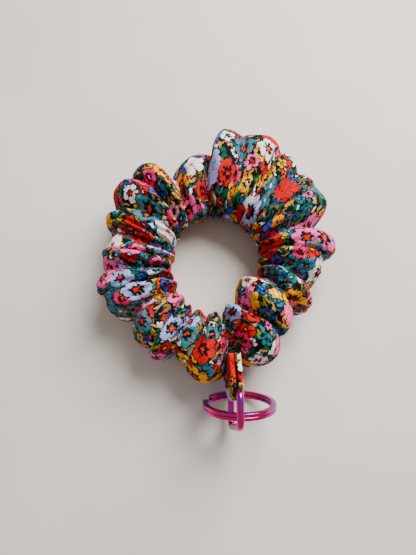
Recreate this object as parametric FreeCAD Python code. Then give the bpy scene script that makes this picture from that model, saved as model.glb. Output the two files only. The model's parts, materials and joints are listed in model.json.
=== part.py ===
"""Wristlet keychain: a gathered cloth band with an elastic inside, a sewn cloth tab,
a rectangular wire link held in the tab's fold, and a double-coil split ring.

Millimetres. +Z is up. The origin is the middle of the wrist opening, on the surface that the
band lies on. +Y runs away from the hardware, which sits at the band's -Y side.
"""
import FreeCAD
import Part
import os
from math import cos, hypot, pi, radians, sin, tan

Vector = FreeCAD.Vector

# ---- gathered cover -------------------------------------------------------------------
opening_width = 43.0          # wrist opening across X, at mid height
opening_length = 47.0         # wrist opening across Y, at mid height
cover_height = 33.0           # height of a nominal puff above the surface
puff_depth = 30.0             # nominal puff, from the opening's edge to the outer edge
crease_depth = 8.5            # how far a crease lies inside its neighbouring puffs
crease_drop = 6.0             # how far a crease lies below its neighbouring puffs
crease_inset = 2.0            # how far a crease lies back from the opening's edge
closing_depth = 6.0           # how much deeper the crease of the tube's closing seam lies
CLOSING_PUFF = 7              # the closing seam runs just before this puff
cover_wall = 1.6              # gathered cloth, taken as one even wall
floor_press = 1.6             # how much of each puff is pressed flat by the surface

# Each puff: direction from the middle in degrees, extra reach, extra height, extra inward
# reach, all in mm beyond the nominal puff.
PUFFS = [
    (80.0, 15.0, 2.0, -1.0),
    (56.0, 12.5, 1.0, 0.0),
    (33.0, 8.0, 0.0, 0.0),
    (8.0, 3.5, 0.0, 1.0),
    (-17.0, 0.0, 0.0, 3.0),
    (-44.0, -4.0, 3.0, 8.0),
    (-66.0, 1.0, 1.5, 5.0),
    (-100.0, 1.5, -2.0, -1.0),
    (-118.0, -2.0, -1.0, 0.0),
    (-141.0, 0.0, -2.0, 0.0),
    (-165.0, 2.0, 0.0, 0.0),
    (173.0, 2.0, -1.0, 0.0),
    (157.0, 3.0, 0.0, 0.0),
    (139.0, 12.0, 1.0, 1.0),
    (119.0, 8.0, 0.0, 0.0),
    (101.0, 5.0, -2.0, 0.0),
]
SECTION_POLES = 12            # control points round one section of the cover

# ---- elastic --------------------------------------------------------------------------
elastic_width = 8.0
elastic_thickness = 1.0
elastic_setback = 6.0         # from the opening's edge to the elastic's inner face
elastic_lap = 12.0            # length over which the two ends lie on each other
lap_gap = 0.05
lap_rows = 3                  # rows of stitches through the lap

# ---- tab ------------------------------------------------------------------------------
tab_width = 19.0
tab_limb = 2.8                # one limb: the strip's cloth folded in four, with its wadding
tab_length = 13.9             # from the cover's closing seam to the bar in the fold
tab_turn = 4.5                # degrees that the tab points away from -Y, towards +X
tab_side_place = 6.6          # X of the tab's root
root_gap = 4.4                # limp stretch at the closing seam, where the tab flexes
fold_wall = 1.1               # cloth beyond the bar, at the end of the fold
limb_gap = 0.06               # between the two limbs where they are sewn together
bar_clearance = 0.08          # radial, fold to bar

# ---- sewing thread --------------------------------------------------------------------
thread = 0.45
stitch_length = 2.4
stitch_space = 0.9
row_inset = 2.2               # from an edge of the cloth to a row of stitches
closing_stitches = 5          # over the top of the band from the tab's root
closing_spread = 16.0         # degrees round the section between closing stitches
long_seam_turn = 8.0          # degrees from one gathered stitch of the long seam to the next
long_seam_level = 9.0         # height of the long seam, on the opening's side

# ---- link -----------------------------------------------------------------------------
link_wire = 2.9
link_long_inside = 25.0
link_short_inside = 9.6
link_corner = 2.6             # centre line radius
hardware_lean = 4.0           # degrees that bar, link and tab lean towards +X

# ---- split ring -----------------------------------------------------------------------
ring_outside = 30.0
ring_wire_radial = 2.2
ring_coil = 1.45              # thickness of one coil
coil_gap = 0.05
ring_ramp = 26.0              # degrees over which the wire steps from one coil to the other
ring_end_turn = 212.0         # direction of the coil ends round the ring
ring_tilt = 69.5              # degrees from the surface
ring_rest_gap = 0.45          # from the ring's top to the link's outer bar that it leans on
ring_top_room = 2.3           # from the ring's top to the link's upper leg
ring_side_offset = 1.2        # ring's middle from the link's plane, towards +X
surface_gap = 0.02            # ring above the surface


def save(shape, node):
    if not shape.isValid():
        raise ValueError(node + " is not a valid shape")
    shape.exportStep("parts/" + node + ".step")
    print(node, "solids", len(shape.Solids), "volume", round(shape.Volume, 2))


def opening_radius(turn):
    """Radius of the oval opening in a direction."""
    a = opening_width / 2
    b = opening_length / 2
    return a * b / hypot(b * cos(turn), a * sin(turn))


# ---- cover ----------------------------------------------------------------------------
def puff_section(puff):
    turn, reach, rise, inward = puff
    edge = opening_radius(radians(turn))
    return turn, edge - inward, edge + puff_depth + reach, cover_height + rise


def crease_section(one, other):
    turn_one, in_one, out_one, top_one = puff_section(one)
    turn_other, in_other, out_other, top_other = puff_section(other)
    span = (turn_one - turn_other) % 360.0
    turn = turn_one - span / 2
    inner = (in_one + in_other) / 2 + crease_inset
    outer = (out_one + out_other) / 2 - crease_depth
    if other is PUFFS[CLOSING_PUFF]:
        outer -= closing_depth
    return turn, inner, outer, (top_one + top_other) / 2 - crease_drop


def section_list():
    """Sections round the band: each crease, then the puff twice, a little apart."""
    sections = []
    count = len(PUFFS)
    for index in range(count):
        before = PUFFS[index - 1]
        puff = PUFFS[index]
        after = PUFFS[(index + 1) % count]
        crease = crease_section(before, puff)
        following = crease_section(puff, after)
        sections.append(crease)
        turn, inner, outer, top = puff_section(puff)
        to_crease = (crease[0] - turn) % 360.0
        to_following = (turn - following[0]) % 360.0
        sections.append((turn + to_crease / 3, inner, outer, top))
        sections.append((turn - to_following / 3, inner, outer, top))
    return sections


def section_points(section, inset):
    """Control points of one oval section, inset all round by the wall."""
    turn, inner, outer, top = section
    gain = 3 / (2 + cos(2 * pi / SECTION_POLES))
    half_depth = gain * ((outer - inner) / 2 - inset)
    half_height = gain * ((top + floor_press) / 2 - inset)
    middle = (inner + outer) / 2
    level = (top - floor_press) / 2
    points = []
    for step in range(SECTION_POLES):
        round_it = 2 * pi * step / SECTION_POLES
        radius = middle + half_depth * cos(round_it)
        height = level + half_height * sin(round_it)
        points.append(Vector(radius * cos(radians(turn)), radius * sin(radians(turn)), height))
    return points


def band_surface(inset):
    poles = [section_points(section, inset) for section in section_list()]
    surface = Part.BSplineSurface()
    around = len(poles)
    surface.buildFromPolesMultsKnots(
        poles, [1] * (around + 1), [1] * (SECTION_POLES + 1),
        list(range(around + 1)), list(range(SECTION_POLES + 1)), True, True, 3, 3)
    return surface


def band_solid(inset):
    solid = Part.Solid(Part.Shell([band_surface(inset).toShape()]))
    if solid.Volume < 0:
        solid.reverse()
    return solid


def above(level, shape):
    """What of a shape lies above a level."""
    reach = 4 * (opening_length + puff_depth)
    below = Part.makeBox(2 * reach, 2 * reach, reach, Vector(-reach, -reach, level - reach))
    return shape.cut(below)


def make_cover():
    outside = above(0.0, band_solid(0.0))
    inside = above(cover_wall, band_solid(cover_wall))
    return outside.cut(inside)


# ---- elastic --------------------------------------------------------------------------
def elastic_point(turn, out):
    radius = opening_radius(turn) + elastic_setback + out
    return Vector(radius * cos(turn), radius * sin(turn), 0)


def lap_turn():
    return elastic_lap / (opening_length / 2 + elastic_setback)


def lap_start():
    """The lap lies opposite the tab."""
    return pi / 2 - lap_turn() / 2


def layer_step(part):
    """Smooth step from 0 to 1 over the last quarter turn before the lap."""
    ease = min(max((part - 0.75) / 0.25, 0.0), 1.0)
    return ease * ease * (3 - 2 * ease)


def elastic_edge(out):
    """One edge of the flat band: once round, and on over its own start."""
    points = []
    total = 2 * pi + lap_turn()
    steps = 96
    for index in range(steps + 1):
        gone = total * index / steps
        step_out = (elastic_thickness + lap_gap) * layer_step(gone / (2 * pi))
        points.append(elastic_point(lap_start() + gone, out + step_out))
    curve = Part.BSplineCurve()
    curve.interpolate(points)
    return curve.toShape()


def make_elastic(level):
    inner = elastic_edge(0.0)
    outer = elastic_edge(elastic_thickness)
    start = Part.makeLine(inner.Vertexes[0].Point, outer.Vertexes[0].Point)
    end = Part.makeLine(inner.Vertexes[-1].Point, outer.Vertexes[-1].Point)
    face = Part.Face(Part.Wire(Part.__sortEdges__([inner, end, outer, start])))
    band = face.extrude(Vector(0, 0, elastic_width))
    band.translate(Vector(0, 0, level - elastic_width / 2))
    return band


def make_elastic_stitches(level):
    """Upright rows of stitches through both layers of the lap."""
    stitches = []
    up = Vector(0, 0, 1)
    for row in range(lap_rows):
        turn = lap_start() + lap_turn() * (row + 1) / (lap_rows + 1)
        inner = elastic_point(turn, 0.0)
        outer = elastic_point(turn, 2 * elastic_thickness + lap_gap)
        for height in row_heights(elastic_width, 0.0):
            lift = Vector(0, 0, level + height)
            stitches.append(stitch(inner + lift, outer + lift, up))
    return Part.makeCompound(stitches)


def row_heights(length, inset):
    """Middles of the stitches in a centred row along a length of cloth."""
    pitch = stitch_length + stitch_space
    count = int((length - 2 * inset + stitch_space) / pitch)
    return [pitch * (index - (count - 1) / 2) for index in range(count)]


def round_loop(corners, radius, bend):
    """A closed round wire along straight runs, with arcs of one radius at its corners."""
    count = len(corners)
    bends = []
    for index in range(count):
        here = corners[index]
        back = (corners[index - 1] - here).normalize()
        on = (corners[(index + 1) % count] - here).normalize()
        half = back.getAngle(on) / 2
        leave = bend / tan(half)
        reach = bend / sin(half) - bend
        bends.append((here + back * leave, here + (back + on).normalize() * reach, here + on * leave))
    half_way = (bends[0][2] + bends[1][0]) / 2
    edges = [Part.makeLine(half_way, bends[1][0])]
    for index in range(1, count + 1):
        start, middle, end = bends[index % count]
        edges.append(Part.Arc(start, middle, end).toShape())
        if index < count:
            edges.append(Part.makeLine(end, bends[(index + 1) % count][0]))
    edges.append(Part.makeLine(bends[0][2], half_way))
    section = Part.Wire(Part.makeCircle(radius, half_way, corners[1] - corners[0]))
    return Part.Wire(edges).makePipeShell([section], True, False, 2)


def stitch(one, other, along):
    """A loop of thread through the cloth from one side to the other, as long as a stitch."""
    through = (other - one).normalize() * (thread / 2)
    half = along.normalize() * (stitch_length / 2)
    corners = [one - through - half, one - through + half, other + through + half,
               other + through - half]
    return round_loop(corners, thread / 2, 0.9 * thread)


# ---- split ring -----------------------------------------------------------------------
def ring_point(turn):
    """The wire's middle: one flat coil, a step up, and the second flat coil."""
    radius = (ring_outside - ring_wire_radial) / 2
    step = min(max((turn - (360.0 - ring_ramp)) / ring_ramp, 0.0), 1.0)
    rise = (ring_coil + coil_gap) * (step * step * (3 - 2 * step) - 0.5)
    way = radians(turn + ring_end_turn)
    return Vector(radius * cos(way), radius * sin(way), rise)


def make_ring_flat():
    """The split ring about the origin, its coils lying in the XY plane."""
    last_turn = 720.0 - ring_ramp
    steps = 90
    points = [ring_point(last_turn * index / steps) for index in range(steps + 1)]
    curve = Part.BSplineCurve()
    curve.interpolate(points)
    out = Vector(points[0].x, points[0].y, 0).normalize() * (ring_wire_radial / 2)
    up = Vector(0, 0, ring_coil / 2)
    corners = [points[0] - out - up, points[0] + out - up, points[0] + out + up]
    corners.append(points[0] - out + up)
    section = Part.makePolygon(corners + [corners[0]])
    sweep = Part.BRepOffsetAPI.MakePipeShell(Part.Wire(curve.toShape()))
    sweep.setBiNormalMode(Vector(0, 0, 1))
    sweep.add(section)
    sweep.build()
    sweep.makeSolid()
    return sweep.shape()


def ring_half_thickness():
    return ring_coil + coil_gap / 2


def ring_middle_height():
    tilt = radians(ring_tilt)
    return ring_outside / 2 * sin(tilt) + ring_half_thickness() * cos(tilt) + surface_gap


def ring_top_height():
    tilt = radians(ring_tilt)
    return ring_middle_height() + ring_outside / 2 * sin(tilt) + ring_half_thickness() * cos(tilt)


def hardware_height():
    """Height of the bar's middle: the ring's top stands just below the link's upper leg."""
    return ring_top_height() + ring_top_room - link_long_inside / 2


def ring_middle(bar):
    tilt = radians(ring_tilt)
    far_face = bar.y - link_wire / 2 - link_short_inside
    behind = ring_outside / 2 * cos(tilt) + ring_half_thickness() * sin(tilt)
    lean_shift = (ring_top_height() - bar.z) * tan(radians(hardware_lean))
    side = bar.x + lean_shift + ring_side_offset
    return Vector(side, far_face + ring_rest_gap + behind, ring_middle_height())


def make_ring(bar):
    ring = make_ring_flat()
    ring.rotate(Vector(0, 0, 0), Vector(1, 0, 0), 180.0 - ring_tilt)
    ring.translate(ring_middle(bar))
    return ring


# ---- link and tab, about the bar, with +Y towards the band ------------------------------
def at_bar(shape, bar):
    """Lean a shape made about the bar, and bring it to the bar's place."""
    shape.rotate(Vector(0, 0, 0), Vector(0, 1, 0), hardware_lean)
    shape.translate(bar)
    return shape


def make_link(bar):
    long_half = (link_long_inside + link_wire) / 2
    short = link_short_inside + link_wire
    corners = [
        Vector(0, 0, -long_half),
        Vector(0, 0, long_half),
        Vector(0, -short, long_half),
        Vector(0, -short, -long_half),
    ]
    return at_bar(round_loop(corners, link_wire / 2, link_corner), bar)


def fold_profile():
    """Plan of the folded strip: two limbs, with the fold round the bar at the origin."""
    half = tab_limb + limb_gap / 2
    root = tab_length - root_gap
    end = -(link_wire / 2 + bar_clearance + fold_wall)
    shoulder = end + half
    outline = [
        Part.makeLine(Vector(half, root, 0), Vector(half, shoulder, 0)),
        Part.Arc(Vector(half, shoulder, 0), Vector(0, end, 0), Vector(-half, shoulder, 0)).toShape(),
        Part.makeLine(Vector(-half, shoulder, 0), Vector(-half, root, 0)),
        Part.makeLine(Vector(-half, root, 0), Vector(half, root, 0)),
    ]
    return Part.Face(Part.Wire(outline))


def make_tab(bar):
    strip = fold_profile().extrude(Vector(0, 0, tab_width))
    strip.translate(Vector(0, 0, -tab_width / 2))
    bore = Part.makeCylinder(link_wire / 2 + bar_clearance, tab_width, Vector(0, 0, -tab_width / 2))
    slit = Part.makeBox(limb_gap, 2 * tab_length, tab_width, Vector(-limb_gap / 2, 0, -tab_width / 2))
    strip = strip.cut(bore.fuse(slit))
    strip.rotate(Vector(0, 0, 0), Vector(0, 0, 1), tab_turn)
    return at_bar(strip, bar)


def tab_stitch_rows():
    """Middles and directions of the tab's stitches, before it is turned and leaned."""
    up = Vector(0, 0, 1)
    back = Vector(0, 1, 0)
    bar_row = link_wire / 2 + bar_clearance + row_inset
    across = [(Vector(0, bar_row, height), up) for height in row_heights(tab_width, row_inset + 1)]
    edges = []
    edge_start = bar_row + stitch_space + thread
    edge_end = tab_length - root_gap
    middle = (edge_start + edge_end) / 2
    for place in row_heights(edge_end - edge_start, thread):
        for level in (-1, 1):
            edge = level * (tab_width / 2 - row_inset)
            edges.append((Vector(0, middle + place, edge), back))
    return across, edges


def make_tab_stitches(rows, bar):
    half = Vector(tab_limb + limb_gap / 2, 0, 0)
    stitches = [stitch(middle - half, middle + half, along) for middle, along in rows]
    threads = Part.makeCompound(stitches)
    threads.rotate(Vector(0, 0, 0), Vector(0, 0, 1), tab_turn)
    return at_bar(threads, bar)


# ---- where things meet the cover ---------------------------------------------------------
def crossing(inset, start, direction):
    """The nearest point where a ray from inside the band passes its surface."""
    reach = opening_length + puff_depth
    ray = Part.LineSegment(start, start + direction.normalize() * reach)
    places = ray.intersectCS(band_surface(inset))[0]
    points = [Vector(place.X, place.Y, place.Z) for place in places]
    return min(points, key=lambda point: point.distanceToPoint(start))


def tab_direction():
    return Vector(sin(radians(tab_turn)), -cos(radians(tab_turn)), 0)


def find_seam():
    """Where the tab comes out of the closing seam, at the hardware's height."""
    start = Vector(tab_side_place, -(opening_length + puff_depth) / 2, hardware_height())
    return crossing(0.0, start, Vector(0, -1, 0))


def make_closing_stitches():
    """Stitches over the band from the tab's root, along the crease that closes the tube."""
    turn = crease_section(PUFFS[CLOSING_PUFF - 1], PUFFS[CLOSING_PUFF])[0]
    out = Vector(cos(radians(turn)), sin(radians(turn)), 0)
    middle = out * (opening_radius(radians(turn)) + puff_depth / 2)
    middle.z = cover_height / 2
    stitches = []
    for index in range(closing_stitches):
        climb = radians(60.0 + closing_spread * index)
        ray = out * cos(climb) + Vector(0, 0, sin(climb))
        along = Vector(0, 0, cos(climb)) - out * sin(climb)
        inner = crossing(cover_wall, middle, ray)
        outer = crossing(0.0, middle, ray)
        stitches.append(stitch(inner, outer, along))
    return Part.makeCompound(stitches)


def make_seam_stitches():
    """The long machine seam, gathered with the cover, on the side of the opening."""
    stitches = []
    count = int(360.0 / long_seam_turn)
    for index in range(count):
        turn = radians(index * long_seam_turn)
        inward = Vector(-cos(turn), -sin(turn), 0)
        middle = inward * -(opening_radius(turn) + puff_depth / 2)
        middle.z = long_seam_level
        inner = crossing(cover_wall, middle, inward)
        outer = crossing(0.0, middle, inward)
        stitches.append(stitch(inner, outer, Vector(0, 0, 1)))
    return Part.makeCompound(stitches)


os.makedirs("parts", exist_ok=True)
seam = find_seam()
bar = seam + tab_direction() * tab_length
middle_height = cover_height / 2
save(make_cover(), "cover")
save(make_elastic(middle_height), "elastic_band")
save(make_elastic_stitches(middle_height), "elastic_join_stitches")
save(make_seam_stitches(), "cover_seam_stitches")
save(make_closing_stitches(), "cover_closing_stitches")
save(make_tab(bar), "tab_strip")
across, edges = tab_stitch_rows()
save(make_tab_stitches(across, bar), "tab_bar_stitches")
save(make_tab_stitches(edges, bar), "tab_edge_stitches")
save(make_link(bar), "link")
save(make_ring(bar), "key_ring")
print("seam", seam, "bar", bar, "ring middle", ring_middle(bar))
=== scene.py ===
"""Looks of a wristlet keychain: a gathered printed band, a sewn tab, a wire link, a split ring."""
import json
import math

import bpy
import numpy as np
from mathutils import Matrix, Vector


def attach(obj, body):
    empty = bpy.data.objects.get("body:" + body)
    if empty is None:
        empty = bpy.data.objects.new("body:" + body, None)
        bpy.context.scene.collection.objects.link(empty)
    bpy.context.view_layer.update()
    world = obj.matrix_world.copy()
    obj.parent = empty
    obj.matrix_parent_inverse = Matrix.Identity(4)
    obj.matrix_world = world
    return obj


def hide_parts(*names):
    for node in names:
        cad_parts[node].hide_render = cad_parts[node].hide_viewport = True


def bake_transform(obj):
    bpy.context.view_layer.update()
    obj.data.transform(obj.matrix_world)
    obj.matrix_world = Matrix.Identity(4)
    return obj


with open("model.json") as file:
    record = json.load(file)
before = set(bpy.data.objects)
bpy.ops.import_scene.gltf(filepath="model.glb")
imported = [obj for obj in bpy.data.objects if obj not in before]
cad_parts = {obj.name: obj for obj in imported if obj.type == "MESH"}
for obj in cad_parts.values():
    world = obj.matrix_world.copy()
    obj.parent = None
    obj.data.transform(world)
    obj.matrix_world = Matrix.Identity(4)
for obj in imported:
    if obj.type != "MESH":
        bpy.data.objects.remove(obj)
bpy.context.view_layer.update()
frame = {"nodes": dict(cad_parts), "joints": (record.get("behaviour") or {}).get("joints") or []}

bl_info = {
    "name": "Wristlet keychain",
    "version": (1, 0, 0),
    "blender": (4, 5, 0),
    "location": "3D View > Sidebar > Wristlet",
    "description": "Builds the gathered band, the tab, the link and the split ring",
    "category": "Add Mesh",
}

MM = 0.001
TURN = 2 * math.pi
PRINT_MAP = "print_place"
JOINTS = {joint["name"]: joint for joint in frame["joints"]}
BAR = np.array(JOINTS["link_swing"]["pos_m"])
LEAN_AXIS = np.array(JOINTS["link_swing"]["axis"])
RING_TOP = np.array(JOINTS["ring_swing"]["pos_m"])


def linear(red, green, blue):
    """A display colour, 0 to 255 a channel, as the linear values that nodes take."""
    shares = np.array([red, green, blue]) / 255
    values = np.where(shares <= 0.04045, shares / 12.92, ((shares + 0.055) / 1.055) ** 2.4)
    return (*values.tolist(), 1.0)


# ---- settings that a user would change ----------------------------------------------------
def colour_setting(name, description, red, green, blue):
    return bpy.props.FloatVectorProperty(
        name=name, description=description, subtype="COLOR", size=4, min=0, max=1,
        default=linear(red, green, blue))


def length_setting(name, description, millimetres):
    return bpy.props.FloatProperty(
        name=name, description=description, default=millimetres * MM, unit="LENGTH", precision=5)


def angle_setting(name, description, degrees):
    return bpy.props.FloatProperty(
        name=name, description=description, default=math.radians(degrees), subtype="ANGLE")


class CoverSettings(bpy.types.PropertyGroup):
    """Sizes of the gathered cover."""
    opening_width: length_setting("Opening width", "Wrist opening across X", 43.0)
    opening_length: length_setting("Opening length", "Wrist opening across Y", 47.0)
    crease_drop: length_setting("Crease drop", "How far a crease lies inside its rolls", 7.0)
    crease_sink: length_setting("Crease sink", "How far a crease lies below its rolls", 8.5)
    cloth_width: length_setting("Cloth width", "Cut width of the panel, round the tube", 108.0)
    cloth_length: length_setting("Cloth length", "Cut length of the panel, round the band", 380.0)
    cloth_thickness: length_setting("Cloth thickness", "Thickness of the printed cloth", 0.45)
    gathers: length_setting("Fine gathers", "Height of the fine gathers by the opening", 0.6)
    give: bpy.props.FloatProperty(
        name="Give", description="How far the cloth goes from its laid shape to its settled one",
        default=0.48, min=0, max=1, subtype="FACTOR")
    seed: bpy.props.IntProperty(name="Seed", description="Seed of the gathers", default=3)


class PrintSettings(bpy.types.PropertyGroup):
    """Colours of the printed cloth."""
    ground: colour_setting("Ground", "Charcoal ground between the flowers", 12, 9, 12)
    white: colour_setting("White", "White petals", 246, 246, 244)
    periwinkle: colour_setting("Periwinkle", "Pale blue petals", 156, 182, 240)
    yellow: colour_setting("Yellow", "Golden petals", 255, 180, 0)
    red: colour_setting("Red", "Red petals", 192, 0, 16)
    orange: colour_setting("Orange", "Orange hearts", 234, 60, 0)
    hot_pink: colour_setting("Hot pink", "Strong pink petals", 226, 22, 108)
    pink: colour_setting("Pink", "Light pink petals", 246, 100, 168)
    teal: colour_setting("Teal", "Teal petals", 0, 118, 134)
    cobalt: colour_setting("Cobalt", "Deep blue petals", 0, 84, 190)
    green: colour_setting("Green", "Dark green leaves", 0, 88, 66)
    olive: colour_setting("Olive", "Olive leaves", 122, 112, 20)
    tan: colour_setting("Tan", "Tan leaves", 214, 142, 72)


class TabSettings(bpy.types.PropertyGroup):
    """Sizes of the sewn tab, the same as the solid's."""
    width: length_setting("Width", "Width of the folded strip", 19.0)
    limb: length_setting("Limb", "Thickness of one limb", 2.8)
    length: length_setting("Length", "From the closing seam to the bar", 13.9)
    fold_wall: length_setting("Fold wall", "Cloth beyond the bar", 1.1)
    limb_gap: length_setting("Limb gap", "Between the two limbs", 0.06)
    bar_clearance: length_setting("Bar clearance", "From the fold to the bar", 0.08)
    turn: angle_setting("Turn", "How far the tab points away from -Y, towards +X", 4.5)
    root_depth: length_setting("Root depth", "How far the limbs reach into the seam's crease", 1.5)


class MetalSettings(bpy.types.PropertyGroup):
    """Sizes of the link and the split ring, the same as the solids', and their plating."""
    link_wire: length_setting("Link wire", "Diameter of the link's wire", 2.9)
    link_long_inside: length_setting("Link inside, long", "Inside length of the link", 25.0)
    link_short_inside: length_setting("Link inside, short", "Inside width of the link", 9.6)
    link_corner: length_setting("Link corner", "Radius of the wire's middle at a corner", 2.6)
    ring_outside: length_setting("Ring outside", "Outside diameter of the split ring", 30.0)
    ring_wire: length_setting("Ring wire", "Radial size of the ring's flat wire", 2.2)
    ring_coil: length_setting("Ring coil", "Thickness of one coil", 1.45)
    coil_gap: length_setting("Coil gap", "Between the two coils", 0.05)
    ring_ramp: angle_setting("Ring ramp", "Where the wire steps between the coils", 26.0)
    ring_end_turn: angle_setting("Coil ends", "Direction of the coil ends round the ring", 212.0)
    ring_tilt: angle_setting("Ring tilt", "From the surface", 69.5)
    pink: colour_setting("Plating", "Magenta plating", 214, 52, 128)
    violet: colour_setting("Violet tint", "Violet tint where the plating is thinner", 150, 62, 178)


def settings():
    return bpy.context.scene.wristlet


# ---- materials: every node comes from Paint.add ---------------------------------------------
class Value:
    """A number on its way through a material's nodes, so that sums read as sums."""

    def __init__(self, paint, socket):
        self.paint = paint
        self.socket = socket

    def maths(self, operation, *others):
        inputs = dict(enumerate([self, *others]))
        return self.paint.add("ShaderNodeMath", {"operation": operation}, inputs)

    def other(self, name):
        """Another output of the node that this one comes from."""
        return Value(self.paint, self.socket.node.outputs[name])

    def __add__(self, other):
        return self.maths("ADD", other)

    def __sub__(self, other):
        return self.maths("SUBTRACT", other)

    def __rsub__(self, other):
        return self.paint.add("ShaderNodeMath", {"operation": "SUBTRACT"}, {0: other, 1: self})

    def __mul__(self, other):
        return self.maths("MULTIPLY", other)

    def __truediv__(self, other):
        return self.maths("DIVIDE", other)

    def __pow__(self, other):
        return self.maths("POWER", other)

    def __abs__(self):
        return self.maths("ABSOLUTE")

    __radd__ = __add__
    __rmul__ = __mul__


class Paint:
    """One material's nodes."""

    def __init__(self, name):
        self.material = bpy.data.materials.new(name)
        self.material.use_nodes = True
        self.tree = self.material.node_tree
        self.tree.nodes.clear()

    def add(self, kind, choices=None, inputs=None, output=0):
        """A node of one type. Its choices are set first, then its sockets' values or links."""
        node = self.tree.nodes.new(kind)
        for key, choice in (choices or {}).items():
            if key == "stops":
                self.set_stops(node, choice)
            else:
                setattr(node, key, choice)
        for key, given in (inputs or {}).items():
            if isinstance(given, Value):
                self.tree.links.new(given.socket, node.inputs[key])
            else:
                node.inputs[key].default_value = given
        return Value(self, node.outputs[output]) if len(node.outputs) else node

    @staticmethod
    def set_stops(node, colours):
        """Even steps of flat colour along a ramp."""
        ramp = node.color_ramp
        ramp.interpolation = "CONSTANT"
        for index, colour in enumerate(colours):
            place = index / len(colours)
            stop = ramp.elements[index] if index < 2 else ramp.elements.new(place)
            stop.position = place
            stop.color = colour

    def vector(self, operation, *given, output=0):
        inputs = dict(enumerate(given))
        return self.add("ShaderNodeVectorMath", {"operation": operation}, inputs, output)

    def scaled(self, vector, factor):
        return self.add("ShaderNodeVectorMath", {"operation": "SCALE"}, {0: vector, 3: factor})

    def split(self, vector):
        x = self.add("ShaderNodeSeparateXYZ", None, {0: vector})
        return x, x.other("Y"), x.other("Z")

    def mix(self, factor, under, over):
        return self.add("ShaderNodeMix", {"data_type": "RGBA"}, {0: factor, 6: under, 7: over}, 2)

    def rise(self, value, low, high):
        """0 below low and 1 above high, smooth between."""
        choices = {"interpolation_type": "SMOOTHSTEP"}
        return self.add("ShaderNodeMapRange", choices, {0: value, 1: low, 2: high})

    def noise(self, vector, scale, detail=2.0, output=0):
        inputs = {"Vector": vector, "Scale": scale, "Detail": detail}
        return self.add("ShaderNodeTexNoise", {"noise_dimensions": "3D"}, inputs, output)

    def bump(self, height, depth, strength=1.0):
        return self.add("ShaderNodeBump", None,
                        {"Height": height, "Distance": depth, "Strength": strength})

    def finish(self, **inputs):
        """The shader and the output. A name's underscores stand for spaces."""
        named = {name.replace("_", " "): given for name, given in inputs.items()}
        shader = self.add("ShaderNodeBsdfPrincipled", None, named)
        self.add("ShaderNodeOutputMaterial", None, {"Surface": shader})
        return self.material


def lobes(turn, count, sharp):
    """1 along the middle of each of count petals and 0 between them."""
    return abs((turn * (count / 2)).maths("COSINE")) ** sharp


def scattered(paint, place, spacing, shift):
    """One mark to a cell: the way from the mark's middle in cells, and its three chances."""
    moved = paint.vector("ADD", place, (shift, -1.7 * shift, 0.0))
    cells = paint.scaled(moved, 1 / spacing)
    inputs = {"Vector": cells, "Scale": 1.0, "Randomness": 0.9}
    choices = {"voronoi_dimensions": "2D", "feature": "F1"}
    middle = paint.add("ShaderNodeTexVoronoi", choices, inputs, "Position")
    away = paint.vector("SUBTRACT", cells, middle)
    return away, middle, paint.split(middle.other("Color"))


def leaves(paint, place, under, spacing, size, colours, shift):
    """Short bent strokes: with x along a stroke and y across it, a stroke lies where
    (x / long) squared + ((y + bend x squared) / wide) squared is under 1."""
    away, _, (first, second, third) = scattered(paint, place, spacing, shift)
    x, y, _ = paint.split(away)
    turn = first * TURN
    cos, sin = turn.maths("COSINE"), turn.maths("SINE")
    along = x * cos + y * sin
    across = y * cos - x * sin + (second - 0.5) * 1.4 * along * along
    long, wide = size[0] / spacing, size[1] / spacing
    inside = (along / long) ** 2.0 + (across / wide) ** 2.0
    shade = paint.add("ShaderNodeValToRGB", {"stops": colours}, {0: third})
    return paint.mix(1 - paint.rise(inside, 0.85, 1.1), under, shade)


def flowers(paint, place, under, spacing, reach, petals, chance, hues, hearts, ink, shadow, shift):
    """One flower to a cell. With r the way from its middle and a its direction, its petals end
    where r = size (0.66 + 0.34 root |cos(petals a / 2)|). Ink runs between the petals and in a
    ragged ring, and a round heart fills the middle."""
    away, middle, (first, second, third) = scattered(paint, place, spacing, shift)
    x, y, _ = paint.split(away)
    r = paint.vector("LENGTH", away, output="Value")
    turn = y.maths("ARCTAN2", x) + first * TURN
    size = (second * 0.3 + 0.75) * (reach / spacing)
    edge = size * (lobes(turn, petals, 0.6) * 0.36 + 0.64)
    soft = 0.10 / spacing
    shown = 1 - paint.rise(third, chance, chance + 0.01)
    petal = paint.rise(edge - r, -soft, soft) * shown
    outline = paint.rise(edge - r, -soft - 0.6 / spacing, soft - 0.6 / spacing) * shown
    share = r / size
    drift = paint.noise(paint.scaled(middle, spacing / 17), 1.0, 1.0)
    hue = (drift * 3.1 + first * 0.3 + shift * 0.37).maths("FRACT")
    body = paint.add("ShaderNodeValToRGB", {"stops": hues}, {0: hue})
    tone = paint.noise(paint.scaled(place, 0.55), 1.0, 2.0)
    body = paint.mix(paint.rise(tone, 0.52, 0.56) * 0.3, body, shadow)
    gaps = 1 - paint.rise(lobes(turn, petals, 1.0) * r, 0.22 / spacing, 0.42 / spacing)
    ragged = paint.noise(paint.scaled(place, 1.1), 1.0, 1.0)
    ring = paint.rise(share - lobes(turn + 0.5, petals + 1, 1.0) * 0.22 - ragged * 0.5, 0.02, 0.07)
    ring = (1 - ring) * paint.rise(first, 0.30, 0.31)
    dark = ring + gaps * paint.rise(share, 0.2, 0.3)
    body = paint.mix(dark.maths("MINIMUM", 1.0), body, ink)
    heart = paint.add("ShaderNodeValToRGB", {"stops": hearts}, {0: (third * 7.3).maths("FRACT")})
    body = paint.mix(1 - paint.rise(share + ragged * 0.3, 0.30, 0.36), body, heart)
    return paint.mix(petal, paint.mix(outline, under, ink), body)


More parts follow.
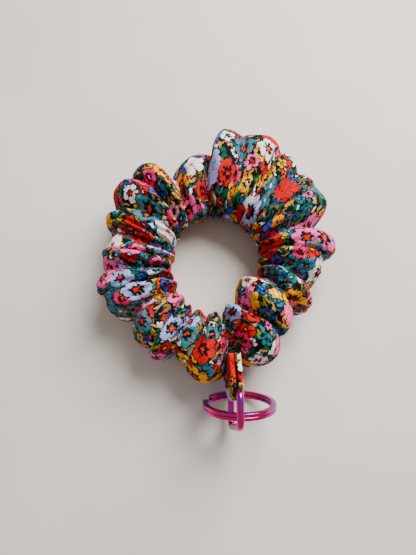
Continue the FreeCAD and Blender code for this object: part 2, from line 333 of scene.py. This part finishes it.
def printed_cloth():
    """Crowded hand-painted flowers and leaves on charcoal, on a fine crepe weave."""
    colours = settings().print_colours
    ink, white, blue, yellow = (tuple(colours.ground), tuple(colours.white),
                                tuple(colours.periwinkle), tuple(colours.yellow))
    red, orange, rose, pink = (tuple(colours.red), tuple(colours.orange),
                               tuple(colours.hot_pink), tuple(colours.pink))
    teal, cobalt, green = tuple(colours.teal), tuple(colours.cobalt), tuple(colours.green)
    olive, tan = tuple(colours.olive), tuple(colours.tan)
    paint = Paint("cloth_print")
    flat = paint.scaled(paint.add("ShaderNodeUVMap", {"uv_map": PRINT_MAP}), 0.86 / MM)
    brush = paint.vector("SUBTRACT", paint.noise(flat, 0.6, 4.0, "Color"), (0.5, 0.5, 0.5))
    place = paint.vector("ADD", flat, paint.scaled(brush, 3.4))
    colour = leaves(paint, place, ink, 3.1, (1.9, 0.62), [green, olive, teal, tan, green], 2.0)
    colour = leaves(paint, place, colour, 4.0, (2.4, 0.55), [olive, tan, green, rose, white], 31.0)
    small = [white, pink, teal, red, yellow, teal, cobalt, orange]
    colour = flowers(paint, place, colour, 5.2, 2.4, 5, 0.66, small,
                     [yellow, orange, white, red], ink, green, 5.0)
    middle = [teal, pink, yellow, white, red, teal, rose, cobalt, yellow, red]
    colour = flowers(paint, place, colour, 8.4, 4.3, 5, 0.72, middle,
                     [orange, red, yellow, white], ink, orange, 13.0)
    large = [blue, yellow, white, teal, red, blue, pink, yellow, teal]
    colour = flowers(paint, place, colour, 12.6, 6.6, 6, 0.66, large,
                     [red, orange, orange, rose], ink, orange, 24.0)
    x, y, _ = paint.split(flat)
    weave = (x * 14.0).maths("SINE") * (y * 14.0).maths("SINE")
    crepe = paint.noise(flat, 2.4, 3.0)
    tone = paint.rise(crepe, 0.3, 0.8)
    colour = paint.mix(tone * 0.16, colour, ink)
    return paint.finish(
        Base_Color=colour, Roughness=tone * 0.12 + 0.72, Sheen_Weight=0.02, Sheen_Roughness=0.5,
        Specular_IOR_Level=0.08, Normal=paint.bump(weave * 0.5 + crepe, 0.0002, 0.5))


def thread_paint():
    """Twisted charcoal sewing thread."""
    paint = Paint("sewing_thread")
    place = paint.scaled(paint.add("ShaderNodeTexCoord", output="Object"), 1 / MM)
    x, y, z = paint.split(place)
    twist = ((x + y + z) * 16.0).maths("SINE")
    fuzz = paint.noise(place, 3.0, 3.0)
    colour = paint.mix(fuzz, linear(30, 27, 30), linear(70, 62, 66))
    return paint.finish(Base_Color=colour, Roughness=fuzz * 0.2 + 0.6,
                        Normal=paint.bump(twist + fuzz, 0.0001, 0.6))


def elastic_paint():
    """White braided elastic: ribs along it, a fine braid across them, with painted shade in the grooves
    between the ribs.
    """
    paint = Paint("braided_elastic")
    place = paint.scaled(paint.add("ShaderNodeTexCoord", output="Object"), 1 / MM)
    x, y, z = paint.split(place)
    ribs = (z * 6.3).maths("SINE")
    braid = ((x + y) * 9.0).maths("SINE") * ribs
    fuzz = paint.noise(place, 2.0, 3.0)
    # painted shade: the grooves between the ribs are coloured darker and the rib crests lighter; the fuzz
    # adds random tone on top
    colour = paint.mix(paint.rise(ribs + fuzz, -0.6, 0.6), linear(196, 190, 182), linear(238, 235, 228))
    return paint.finish(Base_Color=colour, Roughness=fuzz * 0.2 + 0.7,
                        Normal=paint.bump(ribs + braid * 0.5, 0.0002, 0.7))


def plated_metal():
    """Glossy magenta plating that drifts to violet, with faint drawing lines and dull specks."""
    colours = settings().metal
    paint = Paint("magenta_plating")
    place = paint.scaled(paint.add("ShaderNodeTexCoord", output="Object"), 1 / MM)
    drift = paint.noise(place, 0.16, 2.0)
    specks = paint.rise(paint.noise(place, 5.0, 3.0), 0.62, 0.75)
    lines = paint.noise(paint.vector("MULTIPLY", place, (1.0, 1.0, 7.0)), 1.3, 3.0)
    colour = paint.mix(paint.rise(drift, 0.42, 0.64), tuple(colours.pink), tuple(colours.violet))
    colour = paint.mix(specks * 0.35, colour, linear(110, 24, 78))
    return paint.finish(Base_Color=colour, Metallic=1.0, Roughness=lines * 0.12 + specks * 0.12 + 0.1,
                        Normal=paint.bump(lines, 0.00003, 0.5))



# ---- surfaces ---------------------------------------------------------------------------------
def new_piece(name, points, faces, material=None, uv=None):
    """A smooth-shaded mesh in the scene, from its points, in metres, and its faces."""
    mesh = bpy.data.meshes.new(name)
    mesh.from_pydata(points.reshape(-1, 3).tolist(), [], faces)
    if uv is not None:
        layer = mesh.uv_layers.new(name=PRINT_MAP)
        layer.uv.foreach_set("vector", uv.reshape(-1).astype(np.float32))
    mesh.polygons.foreach_set("use_smooth", np.ones(len(faces), bool))
    if material is not None:
        mesh.materials.append(material)
    mesh.update()
    piece = bpy.data.objects.new(name, mesh)
    bpy.context.scene.collection.objects.link(piece)
    return piece


def grid_piece(name, points, material=None, wrap=(True, True), uv=None, caps=False):
    """A mesh through a grid of points, in metres. Faces join each point to the next one both ways,
    round a way that wraps, and their fronts look to the left of the first way seen along the second.
    With caps, a fan closes each open end of the first way."""
    rows, columns = points.shape[:2]
    index = np.arange(rows * columns).reshape(rows, columns)
    on, across = np.roll(index, -1, 0), np.roll(index, -1, 1)
    both = np.roll(on, -1, 1)
    faces = np.stack([index, across, both, on], -1)
    faces = faces[:rows if wrap[0] else rows - 1, :columns if wrap[1] else columns - 1]
    faces = faces.reshape(-1, 4).tolist()
    if caps:
        faces += [index[0, ::-1].tolist(), index[-1].tolist()]
    return new_piece(name, points, faces, material, uv)


def flat_piece(name, half, material=None):
    """A square on the surface, its front up, that reaches half both ways from the origin."""
    side = np.array([-half, half])
    flat = np.stack(np.meshgrid(side, side, [0.0], indexing="ij"), -1)[:, :, 0]
    return grid_piece(name, flat[::-1], material, wrap=(False, False))


def subdivided(piece):
    modifier = piece.modifiers.new("smooth", "SUBSURF")
    modifier.levels = modifier.render_levels = 1


def normalised(vectors):
    return vectors / np.maximum(np.linalg.norm(vectors, axis=-1, keepdims=True), 1e-12)


def signed_power(values, power):
    """The values' sizes to a power, each with its own sign."""
    return np.sign(values) * np.abs(values) ** power


def tube_points(path, radius, sides, closed):
    """A round tube: at each point of a path, a circle square to the path. The circle's first
    direction is the one square to the path that lies nearest the path's own plane."""
    on = np.roll(path, -1, 0) - np.roll(path, 1, 0)
    if not closed:
        on[0], on[-1] = path[1] - path[0], path[-1] - path[-2]
    on = normalised(on)
    away = path - path.mean(0)
    first = normalised(away - (away * on).sum(-1, keepdims=True) * on)
    second = np.cross(on, first)
    turn = TURN * np.arange(sides) / sides
    ring = first[:, None] * np.cos(turn)[:, None] + second[:, None] * np.sin(turn)[:, None]
    return path[:, None] + radius * ring


# ---- the gathered cover -------------------------------------------------------------------------
# Rolls of cloth round the band. Each has its direction in degrees, its outer radius, its height,
# how far it overhangs the opening, its share of the cloth, how far its crest leans along the band,
# how far its leading crease swings back at the opening's side in degrees, and that crease's depth
# as a multiple of the crease drop and sink. Lengths in millimetres.
ROLLS = np.array([
    (83, 68.5, 33.5, -1, 1.2, 2, 0, 1.3), (69, 70.5, 34, -1, 1.4, -2, 4, 0.3),
    (53, 65.0, 34, 0, 1.2, 3, -2, 0.5), (41, 62.5, 33, 0, 0.8, -3, -3, 0.5),
    (30, 60.5, 33, 0, 1.0, 3, 0, 0.35), (11, 55.5, 33, 1, 1.2, -4, 3, 1.4),
    (-7, 49.0, 33, 2, 1.1, 4, 6, 0.6), (-25, 47.5, 33, 2, 1.0, -2, 8, 1.0),
    (-46, 45.0, 38, 8, 1.5, -4, 14, 1.1), (-65, 50.5, 35, 2, 1.2, 3, -12, 1.2),
    (-96, 54.5, 31, 0, 1.2, -3, -3, 1.7), (-109, 49.5, 30, 0, 0.9, 3, 4, 0.8),
    (-119, 52.0, 31, 0, 0.8, -2, 0, 1.0), (-133, 50.0, 32, 1, 1.0, 3, 3, 0.6),
    (-154, 52.5, 32, 2, 0.9, -2, -2, 1.2), (-167, 54.5, 32, 2, 0.8, 3, 2, 0.6),
    (-177, 52.0, 33, 2, 0.8, -3, 3, 0.6), (-188, 50.5, 32, 3, 0.8, 3, -3, 0.5),
    (-198, 51.5, 33, 3, 0.8, -3, 0, 0.5), (-204, 54.5, 34, 2, 0.8, 2, 5, 0.4),
    (-217, 59.5, 34, 1, 1.0, -3, -2, 0.8), (-233, 59.5, 33, 0, 1.1, 2, 0, 1.4),
    (-256, 56.0, 31, 0, 1.0, -3, 4, 1.5)], float)
CLOSING_ROLL = 10            # the tube's ends are sewn together in the crease before this roll
ROLL_STEPS = 13              # columns of points to a roll
ROUND_STEPS = 38             # points round the tube
OPENING_SIDE = ROUND_STEPS // 2
BAND_RADIUS = 48.0           # about the middle of the tube, in millimetres
WAVES = 14                   # sine waves that add up to the fine gathers
SIM_SCALE = 10.0             # the cloth is settled at ten times its size
SETTLING_FRAMES = 12
BAND_GROWTH, TUBE_GROWTH = 1.10, 1.08    # from the laid cloth to the size it swells towards


def laid_cover(big=1.0, swell=1.0):
    """The cover as it is laid, on a grid of (along the band, round the tube).

    Along a roll, t runs from 0 at one crease to 1 at the next. Its crown is
    e = 0.62 (1 - |2t - 1| to the 2.2) + 0.38 (1 - exp(-way to the nearer crease / 0.7 mm)).
    Round the tube, the section is an oval between the opening and the roll's outer radius, and
    between the surface and the roll's top. With d the crease's depth, it is drawn in by the
    crease drop times (1 - e) d and down by the crease sink times (1 - e) (0.45 + 0.55 d). The
    creases wander along the band as they go round the tube. Fine waves lie on top of that,
    highest by the opening. Columns stand closer together near a crease. big and swell grow the
    band's and the tube's radius."""
    sizes = settings().cover
    rng = np.random.default_rng(sizes.seed)
    count = len(ROLLS)
    turn = np.radians(ROLLS[:, 0])
    following = np.append(turn[1:], turn[0] - TURN)
    after = (turn + following) / 2
    before = np.append(after[-1] + TURN, after[:-1])
    share = ROLLS[:, 4] / ROLLS[:, 4].sum()
    start = np.append(0, np.cumsum(share))
    roll = np.arange(count * ROLL_STEPS) // ROLL_STEPS
    even = (np.arange(count * ROLL_STEPS) % ROLL_STEPS) / ROLL_STEPS
    t = even - 0.6 * np.sin(TURN * even) / TURN
    along = start[roll] + share[roll] * even
    span = before[roll] - after[roll]
    edge_way = np.minimum(t, 1 - t) * span * BAND_RADIUS
    crown = 0.62 * (1 - np.abs(2 * t - 1) ** 2.2) + 0.38 * (1 - np.exp(-edge_way / 0.7))
    own = 1 - np.abs(2 * t - 1) ** 3

    def shared(column):
        """A roll's value, eased to the mean of the two rolls at a crease."""
        here = ROLLS[roll, column]
        near = np.where(t < 0.5, ROLLS[roll - 1, column], ROLLS[(roll + 1) % count, column])
        return own * here + (1 - own) * (here + near) / 2

    phase = TURN * np.arange(ROUND_STEPS) / ROUND_STEPS
    outward, upward = np.cos(phase), np.sin(phase)
    inside_share = (0.5 - 0.5 * outward) ** 1.5
    depth = ROLLS[:, 7]
    wander = (rng.uniform(-0.05, 0.05, (count, 1)) * np.sin(phase + rng.uniform(0, TURN, (count, 1)))
              + rng.uniform(-0.03, 0.03, (count, 1)) * np.sin(2 * phase + rng.uniform(0, TURN, (count, 1))))
    swing = wander + np.radians(ROLLS[:, 6:7]) * inside_share
    lead = before[:, None] + swing
    trail = after[:, None] + np.roll(swing, -1, 0)
    direction = lead[roll] + (trail[roll] - lead[roll]) * t[:, None]
    crease_depth = depth[roll] * (1 - t) + np.roll(depth, -1)[roll] * t
    fall = (1 - crown) * crease_depth
    a, b = sizes.opening_width / 2 / MM, sizes.opening_length / 2 / MM
    middle_turn = direction.mean(1)
    opening = a * b / np.hypot(b * np.cos(middle_turn), a * np.sin(middle_turn))
    inner = opening - shared(3) * crown + 2.5 * fall
    outer = shared(1) - sizes.crease_drop / MM * fall
    top = shared(2) - sizes.crease_sink / MM * (0.45 * (1 - crown) + 0.55 * fall)
    low = 2.5 * fall
    half_depth, half_height = (outer - inner) / 2, (top - low) / 2
    rounded = signed_power(outward, 0.9)
    raised = signed_power(upward, 0.85)
    radius = big * ((outer + inner) / 2)[:, None] + swell * half_depth[:, None] * rounded
    height = ((top + low) / 2)[:, None] + swell * half_height[:, None] * raised
    lean = (ROLLS[roll, 5] * crown)[:, None] * (0.5 + 0.5 * outward) * np.where(upward > -0.3, 1, 0.4)
    direction = direction + lean / np.maximum(radius, 20)
    waves = np.zeros(radius.shape)
    for _ in range(WAVES):
        across, round_it = rng.integers(30, 75), rng.integers(-1, 2)
        waves += rng.normal() * np.sin(
            TURN * across * along[:, None] + round_it * phase + rng.uniform(0, TURN))
    waves *= sizes.gathers / MM / math.sqrt(WAVES) * (0.1 + 1.1 * (0.5 - 0.5 * outward))
    radius, height = radius + waves * outward, height + waves * upward
    if big == 1.0:
        height = np.maximum(height, 0.3)
    return np.stack([radius * np.cos(direction), radius * np.sin(direction), height], -1) * MM


def settled_cover(laid, rest):
    """The laid cloth after it has swelled towards its real size under pressure, held at its creases
    and along the elastic, and stopped by itself and by the surface it lies on."""
    cloth = grid_piece("settling_cloth", laid * SIM_SCALE)
    cloth.shape_key_add(name="laid")
    real = cloth.shape_key_add(name="real")
    real.data.foreach_set("co", (rest * SIM_SCALE).reshape(-1).astype(np.float32))
    real.value = 0
    held = cloth.vertex_groups.new(name="held")
    index = np.arange(laid.shape[0] * laid.shape[1]).reshape(laid.shape[:2])
    by_elastic = index[:, OPENING_SIDE - 1:OPENING_SIDE + 2]
    held.add(np.append(by_elastic.ravel(), index[::ROLL_STEPS].ravel()).tolist(), 1.0, "REPLACE")
    modifier = cloth.modifiers.new("cloth", "CLOTH")
    cloth_kind, touch = modifier.settings, modifier.collision_settings
    for name, value in {
            "rest_shape_key": real, "quality": 4, "mass": 0.3, "air_damping": 5,
            "tension_stiffness": 15, "compression_stiffness": 15, "shear_stiffness": 5,
            "bending_stiffness": 2, "tension_damping": 10, "compression_damping": 10,
            "shear_damping": 5, "bending_damping": 1, "use_pressure": True,
            "uniform_pressure_force": 12, "vertex_group_mass": "held"}.items():
        setattr(cloth_kind, name, value)
    cloth_kind.effector_weights.gravity = 0
    for name, value in {
            "distance_min": 0.004, "collision_quality": 3, "use_self_collision": True,
            "self_distance_min": MM * SIM_SCALE, "self_friction": 5}.items():
        setattr(touch, name, value)
    surface = flat_piece("settling_surface", 3.0)
    surface.modifiers.new("collision", "COLLISION")
    surface.collision.thickness_outer = 0.004
    surface.collision.cloth_friction = 5
    scene = bpy.context.scene
    scene.frame_start, scene.frame_end = 1, SETTLING_FRAMES
    modifier.point_cache.frame_start, modifier.point_cache.frame_end = 1, SETTLING_FRAMES
    for number in range(1, SETTLING_FRAMES + 1):
        scene.frame_set(number)
    settled = cloth.evaluated_get(bpy.context.evaluated_depsgraph_get())
    points = np.empty(laid.size, np.float32)
    settled.data.vertices.foreach_get("co", points)
    bpy.data.objects.remove(cloth)
    bpy.data.objects.remove(surface)
    scene.frame_set(1)
    return points.reshape(laid.shape).astype(float) / SIM_SCALE


def print_places(points):
    """Where each corner of each face lies on the flat print, in metres. Along the band a roll is
    measured from its crest both ways, so there the print is true to size and breaks only in a
    crease. Round the tube it starts at the outermost line and is fitted to the cloth's width."""
    sizes = settings().cover
    rows, columns = points.shape[:2]
    count = rows // ROLL_STEPS
    rolls = points.reshape(count, ROLL_STEPS, columns, 3)
    closed = np.concatenate([rolls, np.roll(rolls, -1, 0)[:, :1]], 1)
    step = np.linalg.norm(np.diff(closed, axis=1), axis=-1)
    way = np.concatenate([np.zeros((count, 1, columns)), np.cumsum(step, 1)], 1)
    way = way - way[:, ROLL_STEPS // 2:ROLL_STEPS // 2 + 1]
    share = ROLLS[:, 4] / ROLLS[:, 4].sum()
    middle = (np.cumsum(share) - share / 2) * sizes.cloth_length
    along = middle[:, None, None] + way
    crest = rolls[:, ROLL_STEPS // 2]
    round_step = np.linalg.norm(np.roll(crest, -1, 1) - crest, axis=-1)
    across = np.concatenate([np.zeros((count, 1)), np.cumsum(round_step, 1)], 1)
    across = across / across[:, -1:] * sizes.cloth_width
    across = np.broadcast_to(across[:, None, :], (count, ROLL_STEPS + 1, columns + 1))
    along = np.concatenate([along, along[:, :, :1]], 2)
    place = np.stack([along, across], -1)
    corners = np.stack([place[:, :-1, :-1], place[:, :-1, 1:], place[:, 1:, 1:], place[:, 1:, :-1]], 3)
    return corners.reshape(-1, 2)


def cover_points():
    """The finished cover's grid, read back from its piece."""
    mesh = bpy.data.objects["cover_cloth"].data
    points = np.empty(len(mesh.vertices) * 3, np.float32)
    mesh.vertices.foreach_get("co", points)
    return points.reshape(-1, ROUND_STEPS, 3).astype(float)


def outward_normals(points):
    """The way out of the cover at each point of its grid."""
    along = np.roll(points, -1, 0) - np.roll(points, 1, 0)
    round_it = np.roll(points, -1, 1) - np.roll(points, 1, 1)
    return normalised(np.cross(round_it, along))


class WRISTLET_OT_cover(bpy.types.Operator):
    """Build the gathered cover of printed cloth"""
    bl_idname = "wristlet.cover"
    bl_label = "Cover"

    def execute(self, context):
        """The cover goes part of the way from its laid shape to its settled one."""
        sizes = settings().cover
        laid = laid_cover()
        points = laid
        settled = settled_cover(laid, laid_cover(big=BAND_GROWTH, swell=TUBE_GROWTH))
        points = laid + (settled - laid) * sizes.give
        cover = grid_piece("cover_cloth", points, printed_cloth(), uv=print_places(points))
        subdivided(cover)
        wall = cover.modifiers.new("wall", "SOLIDIFY")
        wall.thickness = sizes.cloth_thickness
        wall.offset = -1
        wall.use_even_offset = False
        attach(cover, "band")
        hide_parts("cover")
        return {"FINISHED"}


# ---- the stitches that hold the cover ------------------------------------------------------------
THREAD_RADIUS = 0.225        # millimetres


def stitch_tubes(name, paths, radius, material):
    """Short round threads, one to a path, each a tube of six sides with closed ends."""
    sides = 6
    steps = paths.shape[1]
    tubes = np.concatenate([tube_points(path, radius, sides, False) for path in paths])
    index = np.arange(len(tubes) * sides).reshape(len(paths), steps, sides)
    on = np.roll(index, -1, 2)
    faces = np.stack([index[:, :-1], on[:, :-1], on[:, 1:], index[:, 1:]], -1).reshape(-1, 4).tolist()
    faces += index[:, 0, ::-1].tolist() + index[:, -1].tolist()
    return new_piece(name, tubes, faces, material)


def arched(start, end, out, lift):
    """Paths from start to end, each bowed out by lift at its middle and sunk at its ends."""
    t = np.linspace(0, 1, 7)[None, :, None]
    bow = lift * (1.5 * np.sin(math.pi * t) - 0.5)
    return start[:, None] + (end - start)[:, None] * t + out[:, None] * bow


class WRISTLET_OT_cover_stitches(bpy.types.Operator):
    """Sew the tube's closing seam and its long seam on the cover"""
    bl_idname = "wristlet.cover_stitches"
    bl_label = "Cover stitches"

    def execute(self, context):
        points = cover_points()
        out = outward_normals(points)
        thread = thread_paint()
        crease = CLOSING_ROLL * ROLL_STEPS
        rounds = np.array([5, 6, 8, 9, 11])
        closing = arched(points[crease - 1, rounds], points[crease + 1, rounds],
                         out[crease, rounds], 0.35 * MM)
        piece = stitch_tubes("closing_threads", closing, THREAD_RADIUS * MM, thread)
        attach(piece, "band")
        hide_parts("cover_closing_stitches")
        row = OPENING_SIDE + 3
        rolls = np.arange(len(ROLLS)) * ROLL_STEPS
        starts = np.concatenate([rolls + 3, rolls + 7])
        seam = arched(points[starts, row], points[starts + 2, row], out[starts + 1, row], 0.25 * MM)
        piece = stitch_tubes("long_seam_threads", seam, THREAD_RADIUS * MM, thread)
        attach(piece, "band")
        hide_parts("cover_seam_stitches")
        return {"FINISHED"}


def leaned(points):
    """Points about the bar, with Z along the bar and -Y away from the band, brought to their place."""
    z_way = LEAN_AXIS / np.linalg.norm(LEAN_AXIS)
    y_way = np.array([0.0, 1.0, 0.0])
    x_way = np.cross(y_way, z_way)
    return BAR + points @ np.stack([x_way, y_way, z_way])


def tab_section_path(sizes, steps):
    """The folded strip's middle line in plan and its half thickness: down one limb, round the bar
    on a half circle, and up the other limb."""
    bar = settings().metal.link_wire / 2
    limb_middle = sizes.limb_gap / 2 + sizes.limb / 2
    fold_middle = bar + sizes.bar_clearance + sizes.fold_wall / 2
    root = sizes.length + sizes.root_depth
    straight = np.linspace(root, 0, steps)
    half_turn = np.linspace(0, math.pi, steps)[1:-1]
    near_bar = np.exp(-(straight / (1.4 * bar)) ** 2)
    side = limb_middle + (fold_middle - limb_middle) * near_bar
    thick = sizes.limb / 2 + (sizes.fold_wall / 2 - sizes.limb / 2) * near_bar ** 1.5
    x = np.concatenate([side, fold_middle * np.cos(half_turn), -side[::-1]])
    y = np.concatenate([straight, -fold_middle * np.sin(half_turn), straight[::-1]])
    half = np.concatenate([thick, np.full(len(half_turn), sizes.fold_wall / 2), thick[::-1]])
    return np.stack([x, y, 0 * x], -1), half


class WRISTLET_OT_tab(bpy.types.Operator):
    """Fold the printed strip round the link's bar"""
    bl_idname = "wristlet.tab"
    bl_label = "Tab"

    def execute(self, context):
        """Round the strip, the section is a flat oval: half thickness times
        |cos| to the 0.45 across the cloth and half width times |sin| to the 0.35 along the bar."""
        sizes = settings().tab
        path, half = tab_section_path(sizes, 26)
        on = normalised(np.gradient(path, axis=0))
        across = np.stack([-on[:, 1], on[:, 0], 0 * on[:, 0]], -1)
        up = np.array([0.0, 0.0, 1.0])
        turn = TURN * (np.arange(44) + 0.5) / 44
        thick = signed_power(np.cos(turn), 0.45)
        wide = signed_power(np.sin(turn), 0.35)
        rng = np.random.default_rng(11)
        way = np.append(0, np.cumsum(np.linalg.norm(np.diff(path, axis=0), axis=-1)))
        edge = np.zeros((len(path), len(turn)))
        for _ in range(6):
            edge += rng.normal() * np.sin(way[:, None] / MM * rng.uniform(0.5, 1.6) + rng.uniform(0, TURN))
        edge = edge * 0.11 * MM * np.abs(wide) ** 6
        points = (path[:, None] + across[:, None] * (half[:, None] * thick)[..., None]
                  + up * ((sizes.width / 2) * wide + np.sign(wide) * edge)[..., None])
        cos, sin = math.cos(sizes.turn), math.sin(sizes.turn)
        points = points @ np.array([[cos, sin, 0], [-sin, cos, 0], [0, 0, 1]])
        round_way = np.append(0, np.cumsum(np.hypot(np.diff(thick) * sizes.limb / 2,
                                                    np.diff(wide) * sizes.width / 2)))
        round_way = np.append(round_way, round_way[-1] + 0.4 * MM)
        place = np.stack(np.meshgrid(way + 0.031, round_way + 0.017, indexing="ij"), -1)
        corners = np.stack([place[:-1, :-1], place[:-1, 1:], place[1:, 1:], place[1:, :-1]], 2)
        caps = np.zeros((2 * len(turn), 2))
        uv = np.concatenate([corners.reshape(-1, 2), caps])
        tab = grid_piece("tab_cloth", leaned(points), bpy.data.materials["cloth_print"],
                         wrap=(False, True), uv=uv, caps=True)
        subdivided(tab)
        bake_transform(tab)
        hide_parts("tab_strip")
        return {"FINISHED"}


# ---- the link and the split ring ---------------------------------------------------------------------
def rounded_loop(long, short, corner, steps):
    """A closed path with straight sides and quarter circles: for a direction a round the loop,
    each corner's middle plus corner times (cos a, sin a), corner after corner."""
    corners = np.array([(1, 1), (-1, 1), (-1, -1), (1, -1)])
    turn = np.radians(90) * (np.linspace(0, 1, steps)[None, :] + np.arange(4)[:, None])
    y = corners[:, :1] * (short / 2 - corner) + corner * np.cos(turn)
    z = corners[:, 1:] * (long / 2 - corner) + corner * np.sin(turn)
    loop = np.stack([0 * y, y, z], -1).reshape(-1, 3)
    following = np.roll(loop, -1, 0)
    gap = np.linalg.norm(following - loop, axis=-1)
    pieces = np.maximum(np.round(gap / (1.2 * MM)).astype(int), 1)
    share = np.concatenate([np.arange(count) / count for count in pieces])
    index = np.repeat(np.arange(len(loop)), pieces)
    return loop[index] + (following - loop)[index] * share[:, None]


def ring_frame():
    """The split ring's middle, and the ways along its X, Y and axis."""
    sizes = settings().metal
    tilt = sizes.ring_tilt
    y_way = np.array([0.0, -math.cos(tilt), math.sin(tilt)])
    axis = np.array([0.0, -math.sin(tilt), -math.cos(tilt)])
    middle = RING_TOP - y_way * (sizes.ring_outside - sizes.ring_wire) / 2
    return middle, np.array([1.0, 0.0, 0.0]), y_way, axis


class WRISTLET_OT_hardware(bpy.types.Operator):
    """Bend the link's wire and coil the split ring"""
    bl_idname = "wristlet.hardware"
    bl_label = "Link and split ring"

    def execute(self, context):
        """The ring's wire goes twice round, less a ramp: its height steps from one coil to the
        other by 3 s squared - 2 s cubed over the ramp. Its section is a rounded rectangle,
        |cos| and |sin| to the 0.4, radially and along the axis, that narrows at the two ends."""
        sizes = settings().metal
        metal = plated_metal()
        path = rounded_loop(sizes.link_long_inside + sizes.link_wire,
                            sizes.link_short_inside + sizes.link_wire, sizes.link_corner, 9)
        path[:, 1] -= (sizes.link_short_inside + sizes.link_wire) / 2
        link = grid_piece("link_wire", leaned(tube_points(path, sizes.link_wire / 2, 20, True)), metal)
        subdivided(link)
        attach(link, "link")
        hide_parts("link")
        middle, x_way, y_way, axis = ring_frame()
        ramp = sizes.ring_ramp
        turn = np.linspace(0, 2 * TURN - ramp, 260)
        step = np.clip((turn - (TURN - ramp)) / ramp, 0, 1)
        rise = (sizes.ring_coil + sizes.coil_gap) * (step ** 2 * (3 - 2 * step) - 0.5)
        radius = (sizes.ring_outside - sizes.ring_wire) / 2
        way = turn + sizes.ring_end_turn
        out = np.cos(way)[:, None] * x_way + np.sin(way)[:, None] * y_way
        section = -TURN * (np.arange(24) + 0.5) / 24
        radial = signed_power(np.cos(section), 0.4) * sizes.ring_wire / 2
        level = signed_power(np.sin(section), 0.4) * sizes.ring_coil / 2
        ends = np.minimum(turn, turn[-1] - turn) * radius
        slim = np.sqrt(np.clip(ends / (0.35 * MM), 0, 1) * 0.35 + 0.65)[:, None]
        points = (middle + out[:, None] * (radius + radial * slim)[..., None]
                  + axis * (rise[:, None] + level * slim)[..., None])
        ring = grid_piece("key_ring_wire", points, metal, wrap=(False, True), caps=True)
        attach(ring, "ring")
        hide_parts("key_ring")
        return {"FINISHED"}


class WRISTLET_OT_kept_solids(bpy.types.Operator):
    """Give the elastic and the sewn threads of the frame their finishes"""
    bl_idname = "wristlet.kept_solids"
    bl_label = "Elastic and threads"

    def execute(self, context):
        kept = {"elastic_band": elastic_paint(), "elastic_join_stitches": thread_paint()}
        kept["tab_bar_stitches"] = kept["tab_edge_stitches"] = kept["elastic_join_stitches"]
        for name, material in kept.items():
            mesh = frame["nodes"][name].data
            mesh.materials.clear()
            mesh.materials.append(material)
        return {"FINISHED"}


# ---- floor, light and camera ----------------------------------------------------------------------------
KEY_LIGHT_PLACE = (0.28, 0.36, 0.52)
CAMERA_PLACE = (-0.00315, -0.06763, 0.192)
CAMERA_RISE = 19             # degrees from straight down


class WRISTLET_OT_stage(bpy.types.Operator):
    """Set the pale floor, the soft light and the camera"""
    bl_idname = "wristlet.stage"
    bl_label = "Stage"

    def execute(self, context):
        paint = Paint("pale_floor")
        place = paint.add("ShaderNodeTexCoord", output="Object")
        cloudy = paint.noise(place, 9.0, 3.0)
        colour = paint.mix(cloudy, linear(200, 189, 180), linear(230, 222, 213))
        floor_material = paint.finish(Base_Color=colour, Roughness=0.8,
                                      Normal=paint.bump(paint.noise(place, 900.0, 2.0), 0.0002, 0.1))
        flat_piece("floor", 1.5, floor_material)
        scene = context.scene
        world = bpy.data.worlds.new("soft_room")
        world.use_nodes = True
        background = world.node_tree.nodes["Background"]
        background.inputs["Color"].default_value = (1.0, 0.985, 0.97, 1.0)
        background.inputs["Strength"].default_value = 0.43
        scene.world = world
        key = bpy.data.lights.new("window", "AREA")
        key.energy, key.size = 12.0, 0.45
        self.place(scene, key, KEY_LIGHT_PLACE, (0.0, 0.0, 0.0))
        camera = bpy.data.cameras.new("camera")
        camera.sensor_fit, camera.sensor_height, camera.lens = "VERTICAL", 36.0, 27.04
        camera.clip_start = 0.01
        holder = bpy.data.objects.new("camera", camera)
        holder.location = CAMERA_PLACE
        holder.rotation_euler = (math.radians(CAMERA_RISE), 0.0, 0.0)
        scene.collection.objects.link(holder)
        scene.camera = holder
        return {"FINISHED"}

    @staticmethod
    def place(scene, light, spot, target):
        holder = bpy.data.objects.new(light.name, light)
        holder.location = spot
        holder.rotation_euler = (Vector(target) - holder.location).to_track_quat("-Z", "Y").to_euler()
        scene.collection.objects.link(holder)


# ---- the add-on ------------------------------------------------------------------------------------------
class WristletSettings(bpy.types.PropertyGroup):
    """Everything that a user would change."""
    cover: bpy.props.PointerProperty(name="Cover", description="The gathered cover", type=CoverSettings)
    print_colours: bpy.props.PointerProperty(
        name="Print", description="The cloth's colours", type=PrintSettings)
    tab: bpy.props.PointerProperty(name="Tab", description="The sewn tab", type=TabSettings)
    metal: bpy.props.PointerProperty(name="Metal", description="Link and ring", type=MetalSettings)


PIECES = (WRISTLET_OT_cover, WRISTLET_OT_cover_stitches, WRISTLET_OT_tab, WRISTLET_OT_hardware,
          WRISTLET_OT_kept_solids, WRISTLET_OT_stage)


class WRISTLET_PT_panel(bpy.types.Panel):
    """Lists the steps that build the wristlet"""
    bl_idname = "WRISTLET_PT_panel"
    bl_label = "Wristlet keychain"
    bl_space_type = "VIEW_3D"
    bl_region_type = "UI"
    bl_category = "Wristlet"

    def draw(self, context):
        groups = context.scene.wristlet
        for group in (groups.cover, groups.print_colours, groups.tab, groups.metal):
            box = self.layout.box()
            for name in group.bl_rna.properties.keys():
                if name not in ("rna_type", "name"):
                    box.prop(group, name)
        for piece in PIECES:
            self.layout.operator(piece.bl_idname)


CLASSES = (CoverSettings, PrintSettings, TabSettings, MetalSettings, WristletSettings, *PIECES,
           WRISTLET_PT_panel)


def register():
    for item in CLASSES:
        bpy.utils.register_class(item)
    bpy.types.Scene.wristlet = bpy.props.PointerProperty(type=WristletSettings)


def unregister():
    del bpy.types.Scene.wristlet
    for item in reversed(CLASSES):
        bpy.utils.unregister_class(item)


def main():
    register()
    bpy.ops.wristlet.cover()
    bpy.ops.wristlet.cover_stitches()
    bpy.ops.wristlet.tab()
    bpy.ops.wristlet.hardware()
    bpy.ops.wristlet.kept_solids()
    bpy.ops.wristlet.stage()


if __name__ == "__main__":
    main()
